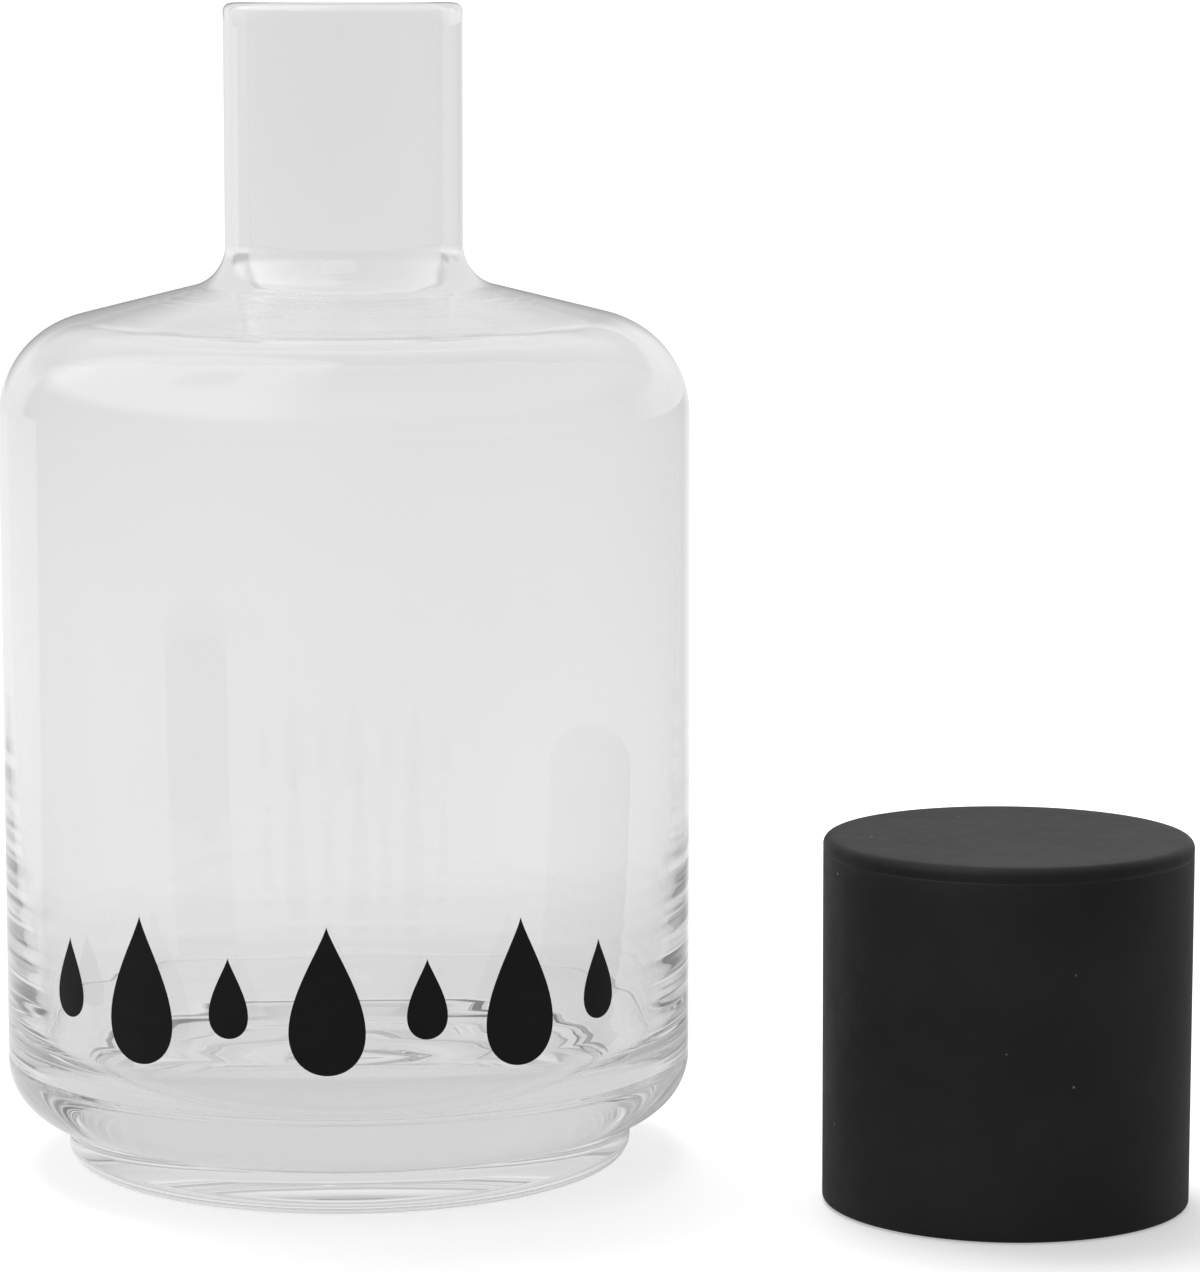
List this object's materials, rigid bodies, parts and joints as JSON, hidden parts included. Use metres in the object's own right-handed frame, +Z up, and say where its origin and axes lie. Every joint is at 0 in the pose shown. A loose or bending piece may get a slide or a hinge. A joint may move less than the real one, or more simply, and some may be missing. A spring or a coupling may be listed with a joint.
{
  "type": "glass carafe with cap",
  "caption": "Clear glass carafe with a straight neck and stepped foot, and a soft black cap that slips over the neck and seals it with a stopper inside.",
  "frame": {"origin": "centre of the set's footprint, on the plane that the carafe and the cap stand on", "axes": "+Z up along the carafe's axis, +X from the carafe towards the cap, -Y towards the viewer"},
  "size_m": [0.1966, 0.1204, 0.1935],
  "materials": {
    "clear_glass": "clear, fire-polished",
    "black_silicone": "matte, soft",
    "black_plastic": "satin moulded",
    "seal_silicone": "matte, soft"
  },
  "bodies": {
    "carafe": {"carafe_glass": "clear_glass"},
    "cap": {"cap_shell": "black_silicone", "stopper_plug": "black_plastic", "stopper_seal_lower": "seal_silicone", "stopper_seal_upper": "seal_silicone"}
  },
  "joints": [
    {"name": "cap_lift", "type": "slide", "parent": "carafe", "child": "cap", "axis": [0, 0, 1], "range_m": [0, 0.2]}
  ]
}
